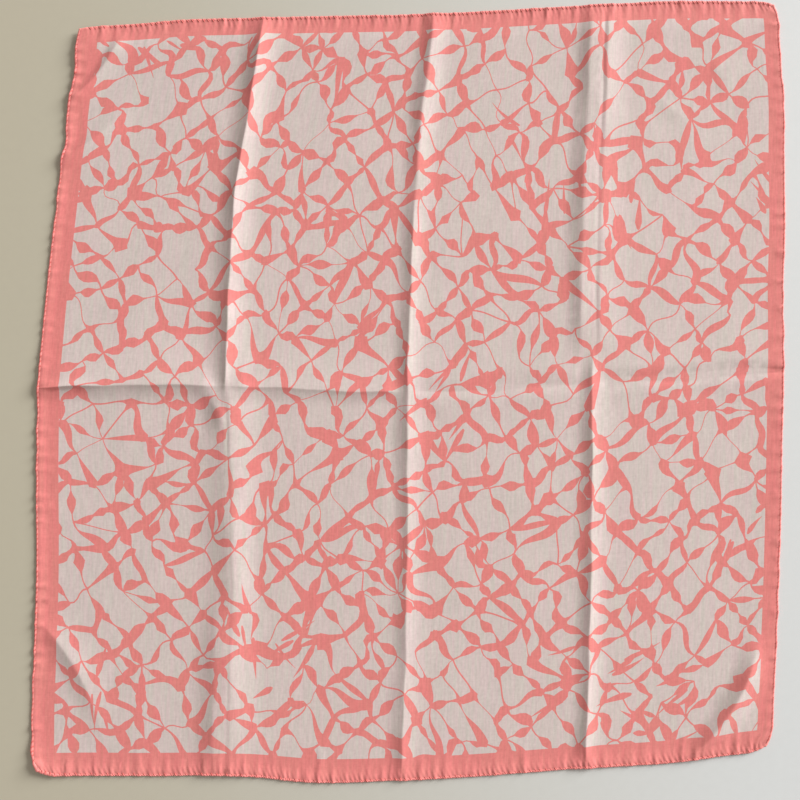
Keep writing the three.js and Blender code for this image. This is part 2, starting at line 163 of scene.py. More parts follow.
# Small creases that only the sheet shows: two ends, rise (below 0 for a trough), reach
WRINKLES = [
    (-146, 196, -172, 66, 0.30, 7.0),
    (-158, 232, -168, 170, 0.20, 6.0),
    (180, 214, 214, 184, 0.28, 3.5),
    (172, 206, 200, 180, -0.20, 5.0),
    (228, 244, 240, 206, 0.45, 6.0),
    (246, 148, 252, 74, -0.35, 9.0),
    (192, -4, 250, -16, -0.5, 10.0),
    (12, -4, 28, -40, -0.5, 6.0),
    (-152, -2, -141, -36, 0.8, 4.0),
    (-162, -8, -152, -44, -0.4, 5.0),
    (146, -2, 152, -44, 0.4, 5.0),
    (-16, -30, -18, -120, 0.25, 5.0),
    (14, -120, 16, -250, 0.15, 5.0),
    (-120, -60, -116, -210, -0.15, 6.0),
]


# ---- Curves ----
def ease(share):
    share = np.clip(share, 0.0, 1.0)
    return share * share * (3 - 2 * share)


def through(values, share):
    """A smooth run through evenly spaced values, read at shares from 0 to 1."""
    values = np.asarray(values, float)
    last = len(values) - 1
    place = np.clip(share, 0.0, 1.0) * last
    i = np.minimum(np.floor(place).astype(int), last - 1)
    f = place - i
    slope = np.gradient(values)
    f2, f3 = f * f, f * f * f
    return (
        (2 * f3 - 3 * f2 + 1) * values[i]
        + (f3 - 2 * f2 + f) * slope[i]
        + (3 * f2 - 2 * f3) * values[i + 1]
        + (f3 - f2) * slope[i + 1]
    )


def uneven(k, kind):
    """A steady number from 0 to 1 for the k-th of something."""
    wave = np.sin(k * 12.9898 + kind * 78.233) * 43758.5453
    return wave - np.floor(wave)


# ---- From the cut square to the plan ----
def rounded_corner(u, v):
    out = HALF - CORNER
    a, b = (np.abs(u) - out) / CORNER, (np.abs(v) - out) / CORNER
    inside = (a > 0) & (b > 0)
    a, b = np.where(inside, a, 0.0), np.where(inside, b, 0.0)
    roundness = np.zeros_like(a)
    for side, end, amount, _, _ in CORNERS:
        roundness = np.where((side * u > 0) & (end * v > 0), amount, roundness)
    slide = lambda p, q: p * (1 - roundness * (1 - np.sqrt(np.maximum(1 - q * q / 2, 0))))
    return (
        np.where(inside, np.sign(u) * (out + CORNER * slide(a, b)), u),
        np.where(inside, np.sign(v) * (out + CORNER * slide(b, a)), v),
    )


def plan(u, v):
    a, b = rounded_corner(np.asarray(u, float), np.asarray(v, float))
    s, t = a / CUT + 0.5, b / CUT + 0.5
    grid = np.array([row[1:] for row in CROSS_LINES], float)
    across = [through(np.eye(5)[k], s) for k in range(5)]
    upwards = [through(np.eye(5)[k], t) for k in range(5)]
    place = [
        sum(upwards[j] * across[i] * grid[j, i, axis] for i in range(5) for j in range(5))
        for axis in range(2)
    ]
    for edge, along, out, reach in BOWS:
        axis = 0 if edge in ("left", "right") else 1
        side = 1 if edge in ("right", "top") else -1
        run, height = (b, a) if axis == 0 else (a, b)
        inward = HALF - side * height
        place[axis] = place[axis] + side * out * np.exp(-(((run - along) / reach) ** 2) - inward / EDGE_FADE)
    return place[0] - MIDDLE[0], place[1] - MIDDLE[1]


# ---- Height of the cloth ----
def slope_down(across, round_top, low, low_power, high, high_power, stretch=1.0):
    """A fold's height beside its line, from 1 down to 0, with a rounded crest and its own slope each side."""
    distance = np.sqrt(across * across + round_top * round_top) - round_top
    reach = np.where(across < 0, low, high)
    power = np.where(across < 0, low_power, high_power)
    return np.maximum(1 - distance / (reach * stretch), 0.0) ** power


def waved(waves, along, number, start):
    """A value that varies along a line, by waves that differ from one line to the next."""
    return sum((size * np.sin(along / length + number * shift) for size, length, shift in waves), start)


def stray(line, along):
    """How far a folding line lies off its place."""
    wobble = waved(LINE_WAVES, along, 1.7 * list(LINES).index(line), 0)
    steady = ease((HALF - np.abs(along)) / WAVE_FADE)
    return through(SWAYS[line], (along + HALF) / CUT) + wobble * steady


def crease_rise(number, crease, u, v):
    line, off, start, end, fade, rises, *shape = crease
    along, across = (u, v) if line == "cross" else (v, u)
    across = across - LINES[line] - off - stray(line, along)
    rise = through(rises, (along - start) / (end - start))
    rise = rise * waved(RISE_WAVES, along, number, 1)
    if start > -HALF:
        rise = rise * ease((along - start) / fade)
    if end < HALF:
        rise = rise * ease((end - along) / fade)
    rise = rise * (1 - EDGE_DROP * np.exp(-(HALF - np.abs(along)) / EDGE_DROP_RUN))
    return rise * slope_down(across, *shape, waved(REACH_WAVES, along, number, 1))


def line_distance(x1, y1, x2, y2, u, v):
    """Distance to the right of a line, distance past its ends, and the share of the way along it."""
    dx, dy = x2 - x1, y2 - y1
    length = math.hypot(dx, dy)
    along = ((u - x1) * dx + (v - y1) * dy) / length
    across = ((u - x1) * dy - (v - y1) * dx) / length
    return across, np.maximum(np.maximum(-along, along - length), 0), along / length


def slant_rise(slant, u, v):
    x1, y1, x2, y2, bow, rise, fade_in, fade_out, *shape = slant
    across, _, share = line_distance(x1, y1, x2, y2, u, v)
    across = across - bow * (1 - (2 * np.clip(share, 0, 1) - 1) ** 2)
    height = rise * slope_down(across, CREST, *shape)
    return height * ease(share / fade_in) * ease((1 - share) / fade_out)


def corner_rise(corner, u, v):
    side, end, _, lift, run = corner
    away = np.hypot(u - side * HALF, v - end * HALF) / run
    return lift * np.maximum(1 - away, 0.0) ** 2


def wrinkle_rise(number, wrinkle, u, v):
    x1, y1, x2, y2, rise, reach = wrinkle
    across, past, share = line_distance(x1, y1, x2, y2, u, v)
    sway = WRINKLE_SWAY * np.sin(share * 5 + number)
    body = np.exp(-(((across - sway) / reach) ** 2))
    return rise * body * np.sin(np.pi * np.clip(share, 0, 1)) ** 2 * np.where(past > 0, 0, 1)


def gather_marks(kind, count):
    """Where each gather of an edge starts and ends, with one on every crease."""
    pitch = 2 * EDGE / (2 * count)
    k = np.arange(2 * count + 1)
    inside = (k > 0) & (k < 2 * count)
    marks = -EDGE + k * pitch + np.where(inside, (2 * uneven(k, kind) - 1) * GATHER_SHIFT * pitch, 0)
    for crease in (-QUARTER, 0, QUARTER):
        marks[np.argmin(np.abs(marks - crease))] = crease
    return marks


# Gathers behind the hems: edge, kind, how many, lowest and highest rise, shortest and longest reach inwards
GATHERS = [
    ("bottom", 1, 96, 0.04, 0.28, 13.0, 24.0),
    ("bottom", 6, 56, 0.00, 0.64, 10.0, 26.0),
    ("top", 2, 92, 0.04, 0.25, 12.0, 22.0),
    ("top", 7, 50, 0.00, 0.60, 10.0, 24.0),
    ("left", 3, 60, 0.02, 0.75, 6.0, 18.0),
    ("right", 4, 52, 0.02, 0.60, 5.0, 16.0),
]


def inwards(edge, u, v):
    """How far a place lies from an edge of the panel."""
    return EDGE - OUTWARDS[edge] * (v if edge in ("bottom", "top") else u)


def gather_rise(gather, u, v):
    edge, kind, count, low, high, near, far = gather
    along = u if edge in ("bottom", "top") else v
    inward = inwards(edge, u, v)
    marks = gather_marks(kind, count)
    slot = np.clip(np.searchsorted(marks, along) - 1, 0, 2 * count - 1)
    share = (along - marks[slot]) / (marks[slot + 1] - marks[slot])
    crest = np.where(slot % 2 == 0, slot + 1, slot)
    share = np.where(slot % 2 == 0, share, 1 - share)
    rise = low + (high - low) * uneven(crest, kind + 5)
    reach = near + (far - near) * uneven(crest, kind + 9) ** 2
    body = ease(share) ** 1.4
    return rise * body * ease(1 - np.maximum(inward, 0) / reach)


def stitch_pucker(u, v):
    """The small pull of each whip stitch, close to the top and bottom hems."""
    inward = EDGE - np.abs(v)
    pull = 0.75 + 0.3 * np.sin(u / 9.7) + 0.25 * np.sin(u / 5.3 + 1.0)
    ripple = 0.5 + 0.5 * np.cos(2 * np.pi * (u + STITCH_SLANT * v) / STITCH)
    rise = np.where(v > 0, PUCKER["top"], PUCKER["bottom"])
    return rise * pull * ripple * ease(1 - np.maximum(inward, 0) / PUCKER_RUN)


def climb(u, v):
    """The rise of the cloth next to each roll."""
    rises = [np.exp(-((np.maximum(inwards(edge, u, v), 0) / reach) ** 2)) for edge, reach in CLIMB.items()]
    return ROLLED * np.maximum.reduce(rises)


def top_fall(v):
    """The low rise behind the top border, which falls steadily to the hem and slowly inwards."""
    inward = EDGE - v
    fading = np.exp(-np.maximum(inward - TOP_FALL_RUN, 0) / TOP_FALL_BACK)
    return TOP_FALL * ease(inward / TOP_FALL_RUN) * fading


def soft_waves(u, v):
    """Low waves of limp cloth that has not been pressed."""
    waves = (
        np.sin(u / 19 + 0.7 * np.sin(v / 37) + 1.1) * np.sin(v / 41 + 0.4)
        + 0.7 * np.sin(u / 11.5 + v / 33 + 2.0) * np.sin(v / 27 - u / 71)
        + 0.5 * np.sin(u / 7.3 - v / 61 + 0.6 * np.sin(v / 23))
    )
    return WAVE_HEIGHT * waves + WAVE_LEVEL


def underside(u, v):
    """Height of the sheet's underside over the surface, mm."""
    u, v = np.asarray(u, float), np.asarray(v, float)
    lift = sum(crease_rise(k, crease, u, v) for k, crease in enumerate(CREASES))
    lift = lift + sum(slant_rise(slant, u, v) for slant in SLANTS)
    lift = lift + sum(corner_rise(corner, u, v) for corner in CORNERS)
    lift = lift + sum(wrinkle_rise(k, wrinkle, u, v) for k, wrinkle in enumerate(WRINKLES))
    lift = lift + soft_waves(u, v)
    lift = 0.5 * (lift + np.sqrt(lift * lift + SOFT_LANDING))
    lift = lift + climb(u, v) + top_fall(v)
    return lift + sum(gather_rise(g, u, v) for g in GATHERS) + stitch_pucker(u, v)


def surface(u, v, above=0.0):
    """Points of the sheet, in metres."""
    x, y = plan(u, v)
    return np.stack([x, y, underside(u, v) + REST + above], axis=-1) * MM


def surface_normals(u, v):
    step = 0.25
    east = surface(u + step, v) - surface(u - step, v)
    north = surface(u, v + step) - surface(u, v - step)
    normal = np.cross(east, north)
    return normal / np.linalg.norm(normal, axis=1, keepdims=True)


# ---- The print: a net of stems with leaf-like swellings and stars, drawn afresh from chance ----
FIELD = {edge: way * (HALF - BORDER[edge]) for edge, way in OUTWARDS.items()}
NET = 20.5  # from one stem of the net to the next
NET_TURN = 0.62  # how far the net is turned on the square
NET_SHAKE = 3.8  # how far its joints stray
STEM = 0.8  # width of the thinnest stems
STAR_REACH = 7.5  # how far a star's points run along its stems
SHORTEST_STEM, LONGEST_STEM = 4.0, 46.0
BUNDLES = 15
SIDES_KEPT, DIAGONALS_KEPT = 0.93, 0.11  # shares of the net's stems
STARS_KEPT = 0.4  # share of the joints that have a star
PRINT_SEED, POINTS_SEED = 4, 5


def turned(x, y, angle):
    c, s = math.cos(angle), math.sin(angle)
    return x * c - y * s, x * s + y * c


def net_joints(rng):
    """Joints of a square net, turned, shaken and gently bent, keyed by row and column."""
    count = int(HALF * 1.75 / NET)
    joints = {}
    for i in range(-count, count + 1):
        for j in range(-count, count + 1):
            x, y = turned(i * NET + rng.gauss(0, NET_SHAKE), j * NET + rng.gauss(0, NET_SHAKE), NET_TURN)
            bend_x = 13 * math.sin(y / 52 + 0.8) + 2.5 * math.sin((x + y) / 20)
            bend_y = 12 * math.sin(x / 47 + 2.1) + 2.5 * math.sin((x - y) / 18 + 1.0)
            x, y = x + bend_x, y + bend_y
            if max(abs(x), abs(y)) < HALF + 6:
                joints[(i, j)] = (x, y)
    return joints


def net_links(joints, rng):
    """Pairs of joints with a stem between them: most sides of the net, and a few diagonals."""
    links = []
    for i, j in sorted(joints):
        ways = ((1, 0, SIDES_KEPT), (0, 1, SIDES_KEPT), (1, 1, DIAGONALS_KEPT), (1, -1, DIAGONALS_KEPT))
        for di, dj, share in ways:
            other = (i + di, j + dj)
            if other in joints and rng.random() < share:
                links.append(((i, j), other))
    return links


def way_through(joints, joint, step):
    """Unit direction of the stem that runs through a joint."""
    ahead = joints.get((joint[0] + step[0], joint[1] + step[1]), joints[joint])
    behind = joints.get((joint[0] - step[0], joint[1] - step[1]), joints[joint])
    dx, dy = ahead[0] - behind[0], ahead[1] - behind[1]
    size = math.hypot(dx, dy) or 1.0
    return dx / size, dy / size


def leaves_on(length, rng):
    """Swellings of one stem: middle, reach before and after it, and rise to each side, mm."""
    swell = lambda low, high: min(rng.uniform(low, high) / length, 0.95)
    kind = rng.random()  # one leaf, two small ones, one at an end, one all along, or none
    if kind < 0.50:
        return [(rng.uniform(0.3, 0.7), swell(4.5, 10), swell(4.5, 10), rng.uniform(1.9, 4.1))]
    if kind < 0.60:
        return [
            (rng.uniform(0.2, 0.32), swell(4, 6), swell(4, 7), rng.uniform(1.5, 2.8)),
            (rng.uniform(0.66, 0.8), swell(4, 7), swell(4, 6), rng.uniform(1.7, 3.3)),
        ]
    if kind < 0.76:
        far = rng.uniform(0.6, 0.95)
        return [(rng.choice((0.0, 1.0)), far, far, rng.uniform(2.0, 3.7))]
    if kind < 0.86:
        return [(0.5, 0.52, 0.52, rng.uniform(1.7, 2.8))]
    return []


def stem_widths(length, rng, star_a, star_b):
    """Widths to the left and right of a stem, at places from 0 to 1 along it."""
    place = np.linspace(0, 1, max(4, round(length / 3.2)) + 1)
    left = np.full(len(place), STEM / 2 * rng.uniform(0.6, 1.5))
    right = left.copy()
    for middle, before, after, rise in leaves_on(length, rng):
        lean, sharp = rng.uniform(0.3, 0.7), rng.uniform(1.1, 2.0)
        away = np.where(place < middle, (middle - place) / before, (place - middle) / after)
        body = np.clip(1 - away**sharp, 0, 1)
        left = left + 2 * rise * lean * body
        right = right + 2 * rise * (1 - lean) * body
    for end, star in ((0.0, star_a), (1.0, star_b)):
        body = np.clip(1 - np.abs(place - end) * length / STAR_REACH, 0, 1) ** 1.25
        left, right = left + star * body, right + star * body
    return place, left, right


def stem_line(start, end, way_a, way_b, place, rng):
    """The middle of a stem, which leaves and reaches its joints along the net's ways."""
    length = math.dist(start, end)
    pull = length * rng.uniform(0.7, 1.1)
    sway = rng.gauss(0, 0.05) * length * np.sin(2 * np.pi * place)
    f2, f3 = place**2, place**3
    x, y = (
        (2 * f3 - 3 * f2 + 1) * start[k]
        + (f3 - 2 * f2 + place) * way_a[k] * pull
        + (3 * f2 - 2 * f3) * end[k]
        + (f3 - f2) * way_b[k] * pull
        for k in range(2)
    )
    return x - sway * (end[1] - start[1]) / length, y + sway * (end[0] - start[0]) / length


def outline_of(x, y, left, right):
    """Outline of a stem, counter-clockwise, with a blunt point at each end."""
    dx, dy = np.gradient(x), np.gradient(y)
    size = np.hypot(dx, dy)
    tx, ty = dx / size, dy / size
    point = 0.45 * (left + right)
    ends = ((0, -1), (-1, 1))
    tips = [(x[k] + way * tx[k] * point[k], y[k] + way * ty[k] * point[k]) for k, way in ends]
    near = list(zip(x + ty * right, y - tx * right))
    far = list(zip(x - ty * left, y + tx * left))
    return [tips[0]] + near + [tips[1]] + far[::-1]


def slip(x, y, angle, length, wide, rng):
    """Outline of a free slip, blunt at its root and pointed at its tip."""
    place = np.linspace(0, 1, 6)
    turns = angle + rng.uniform(-0.2, 0.2) * (2 * place - 1)
    px = x + np.cumsum(np.cos(turns)) * length / 6
    py = y + np.cumsum(np.sin(turns)) * length / 6
    body = np.minimum(place / 0.18 + 0.45, 1) * (1 - np.maximum(place - 0.3, 0) / 0.7) ** 0.9
    left = np.maximum(wide * body, 0.12)
    return outline_of(px, py, left, left * rng.uniform(0.6, 1))


def bundles_of_slips(rng):
    """Loose slips that lie together, nearly side by side."""
    made = []
    for _ in range(BUNDLES):
        x, y = rng.uniform(-HALF, HALF), rng.uniform(-HALF, HALF)
        way = rng.uniform(0, math.pi)
        for _ in range(rng.randint(3, 6)):
            a, b = x + rng.gauss(0, 13), y + rng.gauss(0, 13)
            angle = way + rng.gauss(0, 0.25) + math.pi * rng.randint(0, 1)
            made.append(slip(a, b, angle, rng.uniform(16, 36), rng.uniform(1.3, 2.8), rng))
    return made


def web_outlines():
    """Outlines of every stem and slip of the print."""
    rng = random.Random(PRINT_SEED)
    joints = net_joints(rng)
    links = net_links(joints, rng)
    stars = {}
    for joint in sorted(joints):
        stars[joint] = rng.uniform(1.2, 3.4) if rng.random() < STARS_KEPT else rng.uniform(0, 0.3)
    outlines = []
    for a, b in links:
        length = math.dist(joints[a], joints[b])
        if not SHORTEST_STEM < length < LONGEST_STEM:
            continue
        step = (b[0] - a[0], b[1] - a[1])
        place, left, right = stem_widths(length, rng, stars[a], stars[b])
        ways = way_through(joints, a, step), way_through(joints, b, step)
        x, y = stem_line(joints[a], joints[b], *ways, place, rng)
        outlines.append(outline_of(x, y, left, right))
    return outlines + bundles_of_slips(rng)


# ---- The sheet's mesh ----
ROWS_HELD = (0.0, 0.45, 1.0, 1.9)  # rows beside a crest that the mesh must follow, mm
ROWS_LOOSE = (3.2, 5.0, 7.5, 11.0, 15.5, 20.0)
SLANT_ROWS = (0.0, 0.9, 2.2, 4.5, 8.0)
SLANT_HELD = 2.5  # the mesh must follow rows nearer than this
# Rows of points behind the hems: how far inwards, how far apart
HEM_ROWS = [(0.9, 0.85), (1.9, 0.85), (3.1, 0.9), (4.6, 0.95), (6.4, 1.2), (8.8, 1.9), (12, 2.6), (16.5, 4)]
SIDE_HEM_ROWS = [(1.0, 2.6), (2.6, 2.6), (5.0, 3.2), (9.0, 4.5)]
STATIONS = 117  # points along a crease
FINE_EDGE, COARSE_EDGE = 661, 221  # points along the gathered edges and along the side ones
LONGEST_SIDE = 4.0  # of the print's edge
LOOSE = 9.5  # the rest of the sheet's points, apart
LOOSE_INSET = 18
NEAREST = 1e-3  # points nearer than this become one


def crease_rows():
    """Rows of points along every crease and slanting fold, as (points, held)."""
    stations = np.linspace(-SHEET, SHEET, STATIONS)
    runs = {}
    for line, off, start, end, *_ in CREASES:
        low, high = runs.get((line, off), (start, end))
        runs[line, off] = (min(low, start), max(high, end))
    rows = []
    for (line, off), (start, end) in runs.items():
        along = stations[(stations >= start) & (stations <= end)]
        crest = LINES[line] + off + stray(line, along)
        for step in ROWS_HELD + ROWS_LOOSE:
            held = step in ROWS_HELD
            for side in (-1, 1) if step else (1,):
                place = crest + side * step
                row = list(zip(along, place)) if line == "cross" else list(zip(place, along))
                rows.append((row if held else row[1:-1:2], held))
    for x1, y1, x2, y2, bow, *_ in SLANTS:
        length = math.hypot(x2 - x1, y2 - y1)
        ox, oy = (y2 - y1) / length, -(x2 - x1) / length
        share = np.linspace(0, 1, 2 + int(length / 2.5))
        bend = bow * (1 - (2 * np.clip(share, 0, 1) - 1) ** 2)
        for step in SLANT_ROWS:
            for side in (-1, 1) if step else (1,):
                away = bend + side * step
                row = zip(x1 + (x2 - x1) * share + ox * away, y1 + (y2 - y1) * share + oy * away)
                inside = [p for p in row if max(abs(p[0]), abs(p[1])) < SHEET - 0.5]
                rows.append((inside, step < SLANT_HELD))
    return rows


def loose_points(rng):
    """Points that let the sheet follow its gathers, and its low waves in between."""
    points = []
    for inward, apart in HEM_ROWS:
        run = np.arange(-SHEET + inward, SHEET - inward + 0.1, apart)
        points += [(u, side * (SHEET - inward)) for u in run for side in (-1, 1)]
    for inward, apart in SIDE_HEM_ROWS:
        run = np.arange(-SHEET + 8, SHEET - 7.9, apart)
        points += [(side * (SHEET - inward), v) for v in run for side in (-1, 1)]
    spread = np.arange(-SHEET + LOOSE_INSET, SHEET - LOOSE_INSET + 1, LOOSE)
    points += [(u + rng.uniform(-3, 3), v + rng.uniform(-3, 3)) for u in spread for v in spread]
    return points


def square_outline():
    """The sheet's outline with its points, counter-clockwise."""
    fine = np.linspace(-SHEET, SHEET, FINE_EDGE)[:-1]
    coarse = np.linspace(-SHEET, SHEET, COARSE_EDGE)[:-1]
    low, right = [(u, -SHEET) for u in fine], [(SHEET, v) for v in coarse]
    return low + right + [(-u, SHEET) for u in fine] + [(-SHEET, -v) for v in coarse]


def border_outlines():
    """The printed border, as four bars that run past the sheet."""
    out = SHEET + 3
    box = lambda x1, y1, x2, y2: [(x1, y1), (x2, y1), (x2, y2), (x1, y2)]
    uprights = [box(-out, -out, FIELD["left"], out), box(FIELD["right"], -out, out, out)]
    return uprights + [box(-out, -out, out, FIELD["bottom"]), box(-out, FIELD["top"], out, out)]


def no_long_sides(loop):
    """The same loop with points added along its long sides, so that it can follow the cloth."""
    made = []
    for (x1, y1), (x2, y2) in zip(loop, loop[1:] + loop[:1]):
        parts = max(1, math.ceil(math.dist((x1, y1), (x2, y2)) / LONGEST_SIDE))
        made += [(x1 + (x2 - x1) * k / parts, y1 + (y2 - y1) * k / parts) for k in range(parts)]
    return made


def print_loops():
    """Edges between printed and bare cloth, as closed loops: crossing outlines are merged into one shape."""
    shapes = border_outlines() + web_outlines()
    points, faces = [], []
    for shape in shapes:
        faces.append(list(range(len(points), len(points) + len(shape))))
        points += [Vector(p) for p in shape]
    places, _, triangles, _, _, parents = delaunay_2d_cdt(points, [], faces, 0, NEAREST, True)
    printed = np.array([triangle for triangle, own in zip(triangles, parents) if own])
    after = {}
    for start, end in edge_of(printed).tolist():
        after.setdefault(start, []).append(end)
    loops = []
    for start in list(after):
        while after.get(start):
            loop, here = [], start
            while after.get(here):
                loop.append(here)
                here = after[here].pop()
            loops.append(no_long_sides([places[k][:] for k in loop]))
    on_sheet = lambda loop: max(abs(loop[0][0]), abs(loop[0][1])) < SHEET + 2
    return [loop for loop in loops if len(loop) > 2 and on_sheet(loop)]


def cut_sheet():
    """Cuts the square into triangles along its print's edges: points, triangles and which are printed."""
    points, held, print_edges = [], [], []

    def add(shape):
        start = len(points)
        points.extend(Vector(p) for p in shape)
        return list(range(start, len(points)))

    outline = add(square_outline())
    for loop in print_loops():
        run = add(loop)
        print_edges += list(zip(run, run[1:] + run[:1]))
    for row, keep in crease_rows():
        run = add(row)
        held += list(zip(run[:-1], run[1:])) if keep else []
    add(loose_points(random.Random(POINTS_SEED)))
    cut = delaunay_2d_cdt(points, print_edges + held, [outline], 0, NEAREST, True)
    places, sides, triangles, _, sources, parents = cut
    divides = lambda own: sum(k < len(print_edges) for k in own) % 2
    print_sides = {frozenset(side) for side, own in zip(sides, sources) if divides(own)}
    triangles = [triangle for triangle, own in zip(triangles, parents) if own]
    printed = printed_triangles(triangles, print_sides)
    used, index = np.unique(np.array(triangles), return_inverse=True)
    return np.array([places[k][:] for k in used]), index.reshape(-1, 3), printed


def printed_triangles(triangles, print_sides):
    """Walks over the triangles from the printed border, and changes over at each edge of the print."""
    owners = {}
    sides = [[frozenset((t[k], t[(k + 1) % 3])) for k in range(3)] for t in triangles]
    for number, three in enumerate(sides):
        for side in three:
            owners.setdefault(side, []).append(number)
    first = next(own[0] for own in owners.values() if len(own) == 1)
    printed = np.full(len(triangles), -1)
    printed[first] = 1
    waiting = [first]
    while waiting:
        here = waiting.pop()
        for side in sides[here]:
            for other in owners[side]:
                if printed[other] < 0:
                    printed[other] = 1 - printed[here] if side in print_sides else printed[here]
                    waiting.append(other)
    return printed


def edge_of(triangles):
    """Directed outer edges of a set of triangles."""
    sides = np.concatenate([triangles[:, [0, 1]], triangles[:, [1, 2]], triangles[:, [2, 0]]])
    known = {tuple(s) for s in sides.tolist()}
    return np.array([s for s in known if (s[1], s[0]) not in known])


def placed(name, data, place=(0, 0, 0)):
    """An object of the scene."""
    made = bpy.data.objects.new(name, data)
    made.location = place
    bpy.context.scene.collection.objects.link(made)
    return made


def new_mesh(name, points, faces):
    """A smooth piece from its points, in metres, and its faces."""
    mesh = bpy.data.meshes.new(name)
    mesh.from_pydata(points.tolist(), [], faces)
    mesh.update()
    mesh.polygons.foreach_set("use_smooth", [True] * len(mesh.polygons))
    return placed(name, mesh)


def lay_out(mesh, name, places):
    """A flat layout of the mesh: one place for each corner of each face."""
    layer = mesh.uv_layers.new(name=name)
    layer.data.foreach_set("uv", np.asarray(places, np.float32).ravel())


def values_on(mesh, domain, name, values):
    """One value for each face or point of the mesh."""
    made = mesh.attributes.new(name, "FLOAT", domain)
    made.data.foreach_set("value", np.asarray(values, np.float32))


# The flat layout of the whole sheet, in a square of side 1
LAYOUT_START, LAYOUT_END = 0.005, 0.995
TOP_SIDE, UNDER_SIDE = 0.69, 0.285
RIM_START, RIM_LENGTH, RIM_LEVEL = 0.71, 0.28, 0.40
RIM_APART, RIM_WIDTH = 0.03, 0.01


def bake_layout(u, v, faces, count, rim_start):
    """The sheet's face, its underside and its cut edge, side by side in one square, none over another."""
    share = lambda place: (place[faces % count] + SHEET) / (2 * SHEET)
    across, up = share(u), share(v)
    top = np.stack([LAYOUT_START + TOP_SIDE * across, LAYOUT_START + TOP_SIDE * up], axis=-1)
    under = np.stack([LAYOUT_END - UNDER_SIDE * across, LAYOUT_START + UNDER_SIDE * up], axis=-1)
    mean_u, mean_v = across.mean(axis=1) - 0.5, up.mean(axis=1) - 0.5
    on_side = np.abs(mean_u) > np.abs(mean_v)
    side = np.where(on_side, np.where(mean_u > 0, 1, 3), np.where(mean_v > 0, 2, 0))
    along = np.where(on_side[:, None], up, across)
    level = RIM_LEVEL + RIM_APART * side[:, None] + RIM_WIDTH * (faces < count)
    strip = np.stack([RIM_START + RIM_LENGTH * along, level], axis=-1)
    number = np.arange(len(faces))[:, None, None]
    return np.where(number < rim_start // 2, top, np.where(number < rim_start, under, strip))


def make_sheet():
    """The sheet of cloth with its two faces and its cut edge."""
    places, triangles, printed = cut_sheet()
    u, v = places[:, 0], places[:, 1]
    count = len(places)
    top, low = surface(u, v, CLOTH), surface(u, v)
    normals = surface_normals(u, v)
    rim = edge_of(triangles)
    upper = np.stack([rim[:, 1], rim[:, 0], rim[:, 0] + count], axis=1)
    lower = np.stack([rim[:, 1], rim[:, 0] + count, rim[:, 1] + count], axis=1)
    faces = np.concatenate([triangles, triangles[:, ::-1] + count, upper, lower])
    piece = new_mesh("scarf_sheet", np.concatenate([top, low]), faces.tolist())
    mesh = piece.data
    mesh.normals_split_custom_set_from_vertices(np.concatenate([normals, -normals]).tolist())
    face, rim_faces = np.ones(len(triangles)), np.ones(2 * len(rim))
    values_on(mesh, "FACE", "print", np.concatenate([printed, printed, rim_faces]))
    values_on(mesh, "FACE", "underside", np.concatenate([0 * face, face, 0 * rim_faces]))
    lay_out(mesh, "threads", np.stack([u[faces % count], v[faces % count]], axis=-1) * MM)
    lay_out(mesh, "OFBake", bake_layout(u, v, faces, count, 2 * len(triangles)))
    return piece


# ---- Rolled hems and their whip stitches ----
# Each hem: edge, radius of the roll, how far each stitch pulls it in (share), radius of the thread
ROLLS = [
    ("top", 1.00, 0.17, 0.27),
    ("right", 0.86, 0.12, 0.12),
    ("bottom", 0.98, 0.26, 0.24),
    ("left", 0.86, 0.08, 0.11),
]
ROLL_HEIGHT = 1.04
ROLL_END = 1.6  # how far each roll runs on into the corner
ROLL_OUT = 1.42  # from the solid panel's edge to the middle of the roll
ROLL_STEP = 0.45  # from one ring of its points to the next
AROUND = 14  # points in a ring
PINCH = 0.62  # how far along the roll a stitch pulls it in
TWIST, TWIST_START, TWIST_FADE = 0.40, 34, 20  # the thicker hem at the lower left corner
THREAD_STEPS = 9
THREAD_SIDES = 4
THREAD_SHIFT = 0.5  # how far a stitch strays along the hem
OVER_SHEET = 0.02  # the thread's least height above the sheet
INNER_PART = 0.45  # share of the thread that lies over the sheet
# For each edge: how u, then v, runs along it, and which way u, then v, leads out
TURNS = {"bottom": (1, 0, 0, -1), "right": (0, 1, 1, 0), "top": (-1, 0, 0, 1), "left": (0, -1, -1, 0)}


def hem_line(edge, along):
    """Along an edge of the cut: the plan, the way outwards and the height of the roll's foot, mm."""
    turn = TURNS[edge]
    u, v = turn[0] * along + turn[2] * EDGE, turn[1] * along + turn[3] * EDGE
    step = 0.5
    x, y = plan(u, v)
    x2, y2 = plan(u + turn[0] * step, v + turn[1] * step)
    x1, y1 = plan(u - turn[0] * step, v - turn[1] * step)
    size = np.hypot(x2 - x1, y2 - y1)
    foot = np.maximum(underside(u, v) - ROLLED, 0)
    return x, y, (y2 - y1) / size, -(x2 - x1) / size, foot


def stitch_places(edge):
    """Where each whip stitch crosses the top of the roll, along the edge."""
    number = np.arange(int(2 * EDGE / STITCH) - 1)
    kind = 11 + list(TURNS).index(edge)
    return -EDGE + (number + 1) * STITCH + (2 * uneven(number, kind) - 1) * THREAD_SHIFT


def roll_radius(edge, radius, along):
    """The roll is thicker in some stretches than in others, most of all where it twists at a corner."""
    kind = 2.1 * list(TURNS).index(edge)
    lumps = 0.05 * np.sin(along / 5.1 + kind) + 0.04 * np.sin(along / 2.3 + 1.0)
    lumps = lumps + 0.05 * np.sin(along / 21 + kind)
    to_corner = {"bottom": -1, "left": 1}.get(edge)
    if to_corner is None:
        return radius * (1 + lumps)
    twist = TWIST * ease((to_corner * along - EDGE + TWIST_START) / TWIST_FADE)
    return radius * (1 + lumps + twist * (1 + 0.4 * np.sin(along / 3.1)))


